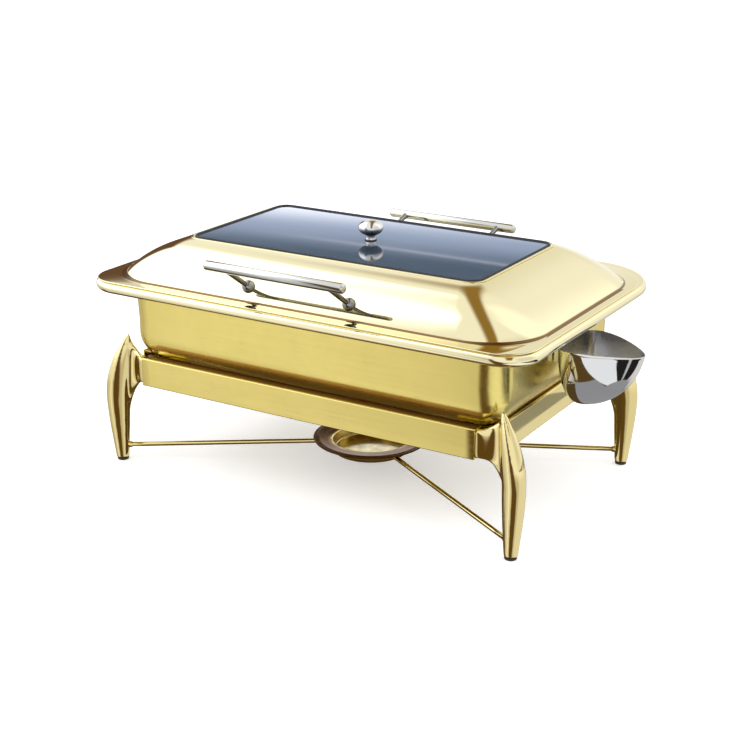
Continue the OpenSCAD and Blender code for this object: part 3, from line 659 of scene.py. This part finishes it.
def cast_leg():
    """One casting: horn and arms joined by voxels, then the joins smoothed into fillets."""
    long_arm = [arm_loop(mix(ARM_START, FOOT_X - 8 * MM, i / 48)) for i in range(49)]
    side_arm = [side_arm_loop(mix(SIDE_ARM_START, FOOT_Y - 4 * MM, i / 36)) for i in range(37)]
    arms = merged(skin(long_arm, caps=True), skin(side_arm, caps=True))
    verts, faces = merged(horn, arms)
    mesh = bpy.data.meshes.new("cast")
    mesh.from_pydata([tuple(v) for v in verts], [], faces)
    work = bpy.data.objects.new("cast", mesh)
    bpy.context.scene.collection.objects.link(work)
    remesh = work.modifiers.new("remesh", "REMESH")
    remesh.mode = "VOXEL"
    remesh.voxel_size = VOXEL
    remesh.use_smooth_shade = True
    solid = bpy.data.meshes.new_from_object(
        work.evaluated_get(bpy.context.evaluated_depsgraph_get()))
    work.modifiers.clear()
    work.data = solid
    group = work.vertex_groups.new(name="soft")
    for v in solid.vertices:
        near_join = max(0.0, 1 - abs(v.co.x - FILLET_X) / FILLET_REACH)
        tall = 1.0 if RAIL_BOTTOM - 60 * MM < v.co.z < LEG_TOP - 12 * MM else 0.0
        group.add([v.index], 0.12 + 0.88 * near_join * tall, "REPLACE")
    for factor, repeat, named in ((0.5, 4, ""), (0.6, 26, "soft")):
        smooth = work.modifiers.new("smooth", "SMOOTH")
        smooth.factor, smooth.iterations, smooth.vertex_group = factor, repeat, named
    done = bpy.data.meshes.new_from_object(
        work.evaluated_get(bpy.context.evaluated_depsgraph_get()))
    bpy.data.objects.remove(work)
    co = np.array([v.co for v in done.vertices])
    return co, [tuple(p.vertices) for p in done.polygons]


leg_co, leg_faces = cast_leg()
for name, sx, sy in CORNERS:
    faces = leg_faces if sx * sy > 0 else [f[::-1] for f in leg_faces]
    piece("leg_%s_cast" % name, leg_co * (sx, sy, 1), faces, "stand", "gold_plate", GOLD_LEG,
          replaces=["leg_" + name], sharp=70)

# ---------------------------------------------------------------- handles and knob


def frame_at(point, up):
    """Frame with its origin at point and +Z along up."""
    return Matrix.Translation(point) @ Vector(up).to_track_quat("Z", "Y").to_matrix().to_4x4()


BALL_R = 8 * MM

for side, label in ((-1, "front"), (1, "back")):
    bar_lo, bar_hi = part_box(label + "_handle_bar")
    bar_c = (bar_lo + bar_hi) / 2
    half, r = bar_hi.x, (bar_hi.z - bar_lo.z) / 2
    profile = ([(TINY, -half - 2.5 * MM), (r * 0.45, -half - 2.45 * MM),
                (r * 0.72, -half - 2.0 * MM), (r * 0.88, -half - 1.2 * MM),
                (r * 0.92, -half - 0.2 * MM), (r * 0.97, -half), (r, -half + 0.4 * MM)])
    profile += [(rr, -h) for rr, h in profile[::-1]]
    along = Matrix.Translation(bar_c) @ Matrix.Rotation(math.pi / 2, 4, "Y")
    piece(label + "_handle_tube", *lathe(profile, along, 64), "lid", "chrome", CHROME_BAR,
          replaces=[label + "_handle_bar", label + "_handle_caps"], sharp=60)
    stem_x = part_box(label + "_handle_stems")[1].x - 3 * MM
    at = 0.77 if side < 0 else 0.79  # how far down the slope the stems stand
    reach = DOME_FRONT if side < 0 else DOME_BACK

    def out_at(t):
        return mix(WIN_Y, reach, front_part(t) if side < 0 else t)

    foot = Vector((0, out_at(at) * side, dome_height(at)))
    lean = Vector((0, bar_c.y - foot.y, bar_c.z - foot.z))
    length = lean.length
    steep = math.atan2(dome_height(at - 0.02) - dome_height(at + 0.02),
                       out_at(at + 0.02) - out_at(at - 0.02))
    outward = Vector((0, side * math.sin(steep), math.cos(steep)))
    for tag, x in (("left", -stem_x), ("right", stem_x)):
        base = foot + Vector((x, 0, 0))
        neck = [(3.0 * MM, 6 * MM), (3.0 * MM, 9 * MM), (3.1 * MM, 13 * MM),
                (3.2 * MM, length * 0.5), (3.3 * MM, length - r - 6 * MM),
                (3.6 * MM, length - r - 2 * MM), (4.2 * MM, length - r + 1 * MM),
                (4.2 * MM, length - 1 * MM)]
        piece("%s_handle_stem_%s" % (label, tag), *lathe(neck, frame_at(base, lean), 40), "lid",
              "chrome", CHROME_STEM, replaces=[label + "_handle_stems"] if tag == "left" else ())
        ball = ([(TINY, 0.4 * MM), (7.8 * MM, 0.4 * MM), (BALL_R, 0.7 * MM)]
                + arc(0, 0, BALL_R, 6, 89.9, 20))
        piece("%s_handle_ball_%s" % (label, tag), *lathe(ball, frame_at(base, outward), 56), "lid",
              "chrome", CHROME_STEM,
              replaces=[label + "_handle_rosettes"] if tag == "left" else ())

knob_lo, knob_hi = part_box("knob")
seal_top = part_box("knob_seal")[1].z
ball_r, ball_h = knob_hi.x, (knob_hi.z - seal_top - 5 * MM) / 2
neck_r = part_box("knob_seal")[1].x - 1.2 * MM
mid = knob_hi.z - ball_h
knob_profile = (
    [(3.9 * MM, knob_lo.z), (4 * MM, knob_lo.z + 0.4 * MM), (4 * MM, seal_top)]
    + [(neck_r - 0.3 * MM, seal_top + 0.05 * MM), (neck_r, seal_top + 0.4 * MM),
       (neck_r - 0.1 * MM, seal_top + 1.5 * MM), (neck_r - 0.7 * MM, seal_top + 3.5 * MM)]
    + [(ball_r * math.cos(math.radians(u)), mid + ball_h * math.sin(math.radians(u)))
       for u in range(-66, 89, 4)]
    + [(TINY, knob_hi.z)]
)
piece("knob_turned", *lathe(knob_profile, Matrix.Identity(4), 72), "lid", "chrome", CHROME_KNOB,
      replaces=["knob"], sharp=45)

# ---------------------------------------------------------------- stand pieces


def folded_rail(node, sign, along, low_lip, top_lip):
    """Sheet rail with a face, rounded folds and inward returns; along is the axis it runs on."""
    lo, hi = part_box(node)
    wall, fold, height = 2.0 * MM, 2.0 * MM, hi[2] - lo[2]
    section = ([(low_lip, wall), (low_lip, 0.0)] + arc(fold, fold, fold, 270, 180, 6)
               + arc(fold, height - fold, fold, 180, 90, 6)
               + [(top_lip, height), (top_lip, height - wall), (wall, height - wall),
                  (wall, wall)])
    start, stop = lo[along], hi[along]
    ends = 0.4 * MM
    stops = ([start] + [mix(start + ends, stop - ends, i / 40) for i in range(41)] + [stop])
    loops = []
    for n, at in enumerate(stops):
        pinch = 0.25 * MM if n in (0, len(stops) - 1) else 0.0
        loop = []
        for depth, z in section:
            point = [0, 0, lo[2] + min(max(z, pinch), height - pinch)]
            point[along] = at
            point[1 - along] = (hi if sign > 0 else lo)[1 - along] - sign * max(depth, pinch)
            loop.append(tuple(point))
        loops.append(loop)
    rail = piece(node + "_folded", *skin(loops, caps=True), "stand", "gold_plate",
                 GOLD_RAIL if along == 0 else GOLD, replaces=[node], sharp=30)
    # painted shade on the top return, for the dark gap under the pan
    rail.data.materials.append(CREASE_SHADE)
    for face in rail.data.polygons:
        depth = sign * ((hi if sign > 0 else lo)[1 - along] - face.center[1 - along])
        if face.center.z > hi.z - 2.5 * MM and depth > 2.2 * MM:
            face.material_index = 1


folded_rail("rail_front", -1, 0, 12 * MM, 16.5 * MM)
folded_rail("rail_back", 1, 0, 12 * MM, 16.5 * MM)
folded_rail("rail_left", -1, 1, 8 * MM, 14 * MM)
folded_rail("rail_right", 1, 1, 8 * MM, 14 * MM)

# burner ring and tray, turned
ring_lo, ring_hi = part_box("burner_ring")
ring_r, ring_half = ring_hi.x, (ring_hi.z - ring_lo.z) / 2
ring_mid = (ring_lo.z + ring_hi.z) / 2
section = [(ring_r - 3 * MM + 3 * MM * bulge(math.cos(t), 0.6),
            ring_mid + ring_half * bulge(math.sin(t), 0.6))
           for t in [2 * math.pi * k / 32 for k in range(32)]]
STEPS = 120
ring_loops = [[(x * math.cos(2 * math.pi * k / STEPS), x * math.sin(2 * math.pi * k / STEPS), z)
               for x, z in section] for k in range(STEPS)]
piece("burner_ring_rounded", *skin(ring_loops, wrap=True), "stand", "gold_plate", GOLD,
      replaces=["burner_ring"], sharp=60)

tray_lo, tray_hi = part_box("burner_tray")
TR, TB = tray_hi.x, tray_lo.z
tray_top = tray_hi.z - 0.4 * MM
under = ring_hi.z + 0.3 * MM
tray_profile = (
    [(TINY, TB), (44 * MM, TB), (46.5 * MM, TB + 0.3 * MM), (48.6 * MM, TB + 1.2 * MM),
     (49.8 * MM, TB + 3.0 * MM), (50.6 * MM, under - 2.5 * MM), (51.4 * MM, under - 0.6 * MM),
     (53 * MM, under + 0.15 * MM), (58 * MM, under + 0.25 * MM), (66 * MM, under + 0.9 * MM),
     (TR - 2.6 * MM, tray_top - 2.2 * MM), (TR - 1.6 * MM, tray_top - 3.0 * MM)]
    + arc(TR - 1.1 * MM, tray_top - 1.3 * MM, 1.1 * MM, -80, 120, 14)
    + [(TR - 3.2 * MM, tray_top + 0.1 * MM), (66 * MM, tray_top - 1.0 * MM),
       (58 * MM, tray_top - 2.1 * MM), (51.6 * MM, tray_top - 2.6 * MM),
       (49.6 * MM, tray_top - 3.4 * MM), (48.9 * MM, tray_top - 5.2 * MM),
       (48.2 * MM, TB + 4.0 * MM), (47.4 * MM, TB + 2.4 * MM), (45.4 * MM, TB + 1.6 * MM),
       (30 * MM, TB + 1.5 * MM), (TINY, TB + 1.5 * MM)]
)
piece("burner_tray_spun", *lathe(tray_profile, Matrix.Identity(4), STEPS), "tray", "gold_plate",
      TRAY, replaces=["burner_tray"], sharp=50)

# brace rods with a small collar where each meets its leg
ROD_R = 3.0 * MM
leg_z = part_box("brace_rod_back_right")[0].z + 3 * MM
for name, sx, sy in CORNERS:
    cx, cy = leg_centre(leg_z)
    toward = Vector((cx, cy, 0)).normalized()
    reach = math.hypot(cx, cy) - leg_radius(leg_z)
    inner = toward * (ring_r - 1.5 * MM) + Vector((0, 0, ring_mid))
    outer_end = toward * (reach + 1.5 * MM) + Vector((0, 0, leg_z))
    inner, outer_end = [Vector((p.x * sx, p.y * sy, p.z)) for p in (inner, outer_end)]
    span = (outer_end - inner).length
    bar = ([(ROD_R, 0.0), (3.6 * MM, 1.5 * MM), (3.6 * MM, 3 * MM), (ROD_R, 4.5 * MM)]
           + [(ROD_R, mix(4.5 * MM, span - 5.5 * MM, i / 12)) for i in range(1, 12)]
           + [(ROD_R, span - 5.5 * MM), (4.1 * MM, span - 4.2 * MM),
              (4.3 * MM, span - 1.6 * MM), (4.3 * MM, span)])
    piece("brace_rod_%s_drawn" % name, *lathe(bar, frame_at(inner, outer_end - inner), 40), "stand",
          "gold_plate", GOLD, replaces=["brace_rod_" + name], sharp=50)

# rubber feet with a rounded tread
for name, sx, sy in CORNERS:
    tread = [(TINY, 0.0), (6.4 * MM, 0.0), (7.1 * MM, 0.4 * MM), (7.4 * MM, 1.2 * MM),
             (7.4 * MM, 2.6 * MM), (7.2 * MM, pad_hi.z), (TINY, pad_hi.z)]
    where = Matrix.Translation((sx * FOOT_X, sy * FOOT_Y, 0))
    piece("foot_pad_" + name, *lathe(tread, where, 48), "stand", "black_rubber", RUBBER,
          replaces=["foot_pads"] if name == "front_left" else (), sharp=40)

# ---------------------------------------------------------------- CAD nodes that stay

KEPT = {
    GOLD: ["pan_plate_front_left", "pan_plate_front_right", "pan_plate_back_left",
           "pan_plate_back_right", "hinge_base_left", "hinge_base_right", "hinge_leaf_left",
           "hinge_leaf_right"],
    CHROME: ["spoon_rest_plate", "spoon_rest_rivets", "hinge_pin_left", "hinge_pin_right",
             "hinge_rivets"],
    STEEL: ["rail_screws", "knob_nut", "front_handle_screws", "back_handle_screws"],
    RUBBER: ["plate_pads", "knob_seal"],
    GLASS: ["window_glass"],
}
for material, names in KEPT.items():
    for name in names:
        mesh = nodes[name].data
        mesh.materials.clear()
        mesh.materials.append(material)
        finish_mesh(mesh, 30)

# ---------------------------------------------------------------- studio

scene = bpy.context.scene
scene.view_settings.view_transform = "Standard"
scene.view_settings.look = "None"
scene.view_settings.exposure = 0.0

world = bpy.data.worlds.new("studio")
scene.world = world
world.use_nodes = True
world.node_tree.nodes["Background"].inputs[0].default_value = (1.0, 1.0, 1.0, 1)
world.node_tree.nodes["Background"].inputs[1].default_value = 1.03


def floor_material():
    g = Graph("studio_floor")
    tone = g.ramp(g.noise(1.5), [(0.3, (0.92, 0.92, 0.92)), (0.7, (0.94, 0.94, 0.94))])
    return g.set(Base_Color=tone, Roughness=0.9, Specular_IOR_Level=0.1,
                 Emission_Color=(1.0, 1.0, 1.0, 1), Emission_Strength=0.42)


bpy.ops.mesh.primitive_plane_add(size=30, location=(0, 0, -0.0002))
floor = bpy.context.object
floor.name = "studio_floor"
floor.data.materials.append(floor_material())
floor.visible_glossy = False


# The reflectors' directions, places and tones are listed here. They were worked out from
# where the photo's bright and dark bands reflect, so they are fitted to that one view.


def glow(name):
    """Emission that takes its colour from the mesh, for reflectors."""
    material = bpy.data.materials.new(name)
    material.use_nodes = True
    tree = material.node_tree
    tree.nodes.clear()
    tones = tree.nodes.new("ShaderNodeVertexColor")
    tones.layer_name = "tone"
    light = tree.nodes.new("ShaderNodeEmission")
    out = tree.nodes.new("ShaderNodeOutputMaterial")
    tree.links.new(tones.outputs["Color"], light.inputs["Color"])
    tree.links.new(light.outputs[0], out.inputs[0])
    return material


def reflector(name, verts, faces, tones):
    """A studio surface that only shows in reflections."""
    mesh = bpy.data.meshes.new(name)
    mesh.from_pydata(verts, [], faces)
    layer = mesh.color_attributes.new("tone", "FLOAT_COLOR", "POINT")
    layer.data.foreach_set("color", np.array([(*c, 1) for c in tones], "f").ravel())
    mesh.materials.append(glow(name))
    made = bpy.data.objects.new(name, mesh)
    scene.collection.objects.link(made)
    made.visible_camera = made.visible_diffuse = False
    made.visible_transmission = made.visible_shadow = False


def patch(az, el, az0, az1, el0, el1, soft=8.0):
    """1 inside a range of directions, fading over its soft border, in degrees."""
    middle = (az0 + az1) / 2
    off = abs((az - middle + 180) % 360 - 180)
    return ((1 - ease(off, (az1 - az0) / 2 - soft / 2, (az1 - az0) / 2 + soft / 2))
            * ease(el, el0 - soft / 2, el0 + soft / 2)
            * (1 - ease(el, el1 - soft / 2, el1 + soft / 2)))


def blend3(a, b, t):
    return tuple(mix(p, q, t) for p, q in zip(a, b))


SOFTBOX = (1.85, 1.90, 2.05)
WALL = (1.02, 1.01, 0.99)
DARK = (0.14, 0.075, 0.040)
GAP_TONE = (0.30, 0.18, 0.045)
STRIPE_TONE = (0.12, 0.068, 0.018)
VIEW_AZ = 31  # azimuth of the photo's view, which the overhead gap runs along
TABLE = (0.62, 0.58, 0.52)
TABLE_DARK = (0.13, 0.070, 0.030)


def studio_tone(az, el):
    """Brightness of the studio by direction: azimuth 0 is the front, + to the right."""
    tone = WALL
    tone = blend3(tone, SOFTBOX, patch(az, el, -122, -35, 5, 62, 14))
    tone = blend3(tone, (1.25, 1.24, 1.22), patch(az, el, 118, 168, 15, 68, 16))
    tone = blend3(tone, (0.80, 0.79, 0.77), patch(az, el, 60, 112, 2, 50, 20))
    tone = blend3(tone, (0.90, 0.87, 0.77), patch(az, el, -176, -150, 12, 46, 14))
    # brown gap between the softboxes, overhead along the photo's line of view
    a, e = math.radians(az - VIEW_AZ), math.radians(el)
    side = math.cos(e) * math.sin(a)
    over = math.degrees(math.atan2(math.sin(e), math.cos(e) * math.cos(a)))
    top = ease(over, 112, 140)
    gap = (ease(side, mix(-0.10, -0.24, top), mix(0.03, 0.06, top)) * ease(over, 24, 34)
           * (1 - ease(side, 0.18, mix(0.26, 0.32, top))) * (1 - ease(over, 138, 153)))
    tone = blend3(tone, GAP_TONE, gap)
    # dark patch low at the back left, with a slanting upper edge
    ceiling = 14 + 0.75 * (az + 142)
    brown = (ease(az, -142, -138) * (1 - ease(az, -122, -114)) * ease(el, -14, -8)
             * (1 - ease(el, ceiling - 2, ceiling + 7)))
    tone = blend3(tone, DARK, brown)
    # dark stripe the legs carry from tip to foot, wider towards the floor
    low = ease(-el, -20, 36)
    middle, half = mix(-16, 14, low), mix(4, 24, low)
    stripe = (1 - ease(abs(az - middle), half - 4, half + 9)) * (1 - ease(el, 18, 32))
    if el < 0:
        table = blend3(TABLE, (0.86, 0.84, 0.80), patch(az, el, 60, 165, -50, 10, 14))
        table = blend3(table, (0.77, 0.75, 0.70), patch(az, el, -66, -14, -46, 10, 14))
        table = blend3(table, (1.08, 1.06, 1.04), patch(az, el, -43, -30, -50, 10, 10))
        table = blend3(table, TABLE_DARK, patch(az, el, -165, -70, -75, -28, 12))
        table = blend3(table, (0.16, 0.11, 0.06), 1 - ease(el, -60, -46))
        tone = blend3(tone, table, 1 - ease(el, -14, -4))
    return blend3(tone, STRIPE_TONE, stripe)


def dome(radius=9.0, across=240, up=120):
    """The studio all round, toned by direction."""
    verts, tones = [], []
    for i in range(up + 1):
        el = -90 + 180 * i / up
        for j in range(across):
            az = 360 * j / across - 180
            a, e = math.radians(az), math.radians(el)
            verts.append((radius * math.sin(a) * math.cos(e), -radius * math.cos(a) * math.cos(e),
                          radius * math.sin(e)))
            tones.append(studio_tone(az, el))
    faces = [(i * across + j, i * across + (j + 1) % across,
              (i + 1) * across + (j + 1) % across, (i + 1) * across + j)
             for i in range(up) for j in range(across)]
    reflector("studio_dome", verts, faces, tones)


dome()


def back_panel():
    """Low panel behind, pale below and slate above, cut to what the window reflects."""
    columns, rows = 40, 100
    z0, z1, depth = 0.575, 0.742, 1.2
    pale, sky, slate = (2.3, 2.35, 2.6), (0.62, 0.74, 0.98), (0.12, 0.165, 0.225)
    verts, tones = [], []
    for i in range(rows + 1):
        z = mix(z0, z1, i / rows)
        x0, x1 = -0.99 - (z - 0.611) * 2.39, -0.275 - (z - 0.611) * 1.57
        for j in range(columns + 1):
            x = mix(x0, x1, j / columns)
            level = z + 0.055 * (x + 0.70)
            tone = blend3(pale, sky, ease(level, 0.575, 0.642))
            tone = blend3(tone, slate, ease(level, 0.635, 0.700))
            streak = math.exp(-((z - 0.672 - 0.004 * math.sin(4 * x)) / 0.003) ** 2)
            tone = blend3(tone, (1.1, 1.15, 1.3), 0.6 * streak * ease(x, -1.1, -0.7))
            verts.append((x, depth, z))
            tones.append(tone)
    faces = [(i * (columns + 1) + j, i * (columns + 1) + j + 1,
              (i + 1) * (columns + 1) + j + 1, (i + 1) * (columns + 1) + j)
             for i in range(rows) for j in range(columns)]
    reflector("studio_back_panel", verts, faces, tones)


back_panel()


def card(name, x0, x1, y0, y1, z, tone):
    """Level sheet that only shows in reflections."""
    verts = [(x0, y0, z), (x1, y0, z), (x1, y1, z), (x0, y1, z)]
    reflector(name, verts, [(0, 1, 2, 3)], [tone] * 4)


def fan():
    """Sectors of white, black and silver under the spoon rest, round a grey middle."""
    cx, cy, z = 0.375, -0.01, 0.10
    near, far, round_steps = 0.035, 0.40, 24
    white, black, silver, grey = (1.05,) * 3, (0.02, 0.018, 0.016), (0.62,) * 3, (0.36,) * 3
    sectors = [(-6, 40, white), (40, 60, black), (60, 67, silver), (67, 106, black)]
    verts, faces, tones = [], [], []
    for az0, az1, tone in sectors:
        steps = max(2, round((az1 - az0) / 4))
        for i in range(steps + 1):
            a = math.radians(mix(az0, az1, i / steps))
            for out in (near, far):
                verts.append((cx + out * math.sin(a), cy - out * math.cos(a), z))
                tones.append(tone)
            if i:
                n = len(verts)
                faces.append((n - 4, n - 3, n - 1, n - 2))
    for i in range(round_steps):
        a = 2 * math.pi * i / round_steps
        verts.append((cx + near * math.sin(a), cy - near * math.cos(a), z))
        tones.append(grey)
    faces.append(tuple(range(len(verts) - round_steps, len(verts))))
    reflector("studio_fan", verts, faces, tones)


card("studio_card_grey", 0.285, 0.365, -0.10, 0.12, 0.1004, (0.34, 0.34, 0.345))
card("studio_card_shade", -0.262, 0.262, -0.165, 0.18, 0.0004, (0.10, 0.060, 0.022))
fan()


def area(name, centre, aim, size, power):
    """Soft rectangular light that faces its aim and doesn't show in reflections."""
    light = bpy.data.lights.new(name, "AREA")
    light.shape = "RECTANGLE"
    light.size, light.size_y = size
    light.energy = power
    made = bpy.data.objects.new(name, light)
    made.location = centre
    made.rotation_euler = (Vector(centre) - Vector(aim)).to_track_quat("Z", "Y").to_euler()
    made.visible_glossy = False
    scene.collection.objects.link(made)


area("key", (-1.6, -1.5, 1.9), (0, 0, 0.2), (1.6, 1.2), 14)
area("fill", (1.9, 0.6, 1.7), (0, 0, 0.2), (1.4, 1.2), 8)

# ---------------------------------------------------------------- camera

# fitted to the photo; distance and aim in metres, sensor and lens in millimetres
AZIMUTH, ELEVATION, DISTANCE = math.radians(31.18), math.radians(19.61), 1.91023
AIM = Vector((0.00443, 0.00268, 0.11868))
SENSOR, LENS = 36, 71.67
offset = Vector((math.sin(AZIMUTH) * math.cos(ELEVATION),
                 -math.cos(AZIMUTH) * math.cos(ELEVATION), math.sin(ELEVATION)))
camera_data = bpy.data.cameras.new("camera")
camera_data.sensor_width = SENSOR
camera_data.lens = LENS
camera = bpy.data.objects.new("camera", camera_data)
camera.location = AIM + offset * DISTANCE
camera.rotation_euler = offset.to_track_quat("Z", "Y").to_euler()
scene.collection.objects.link(camera)
scene.camera = camera
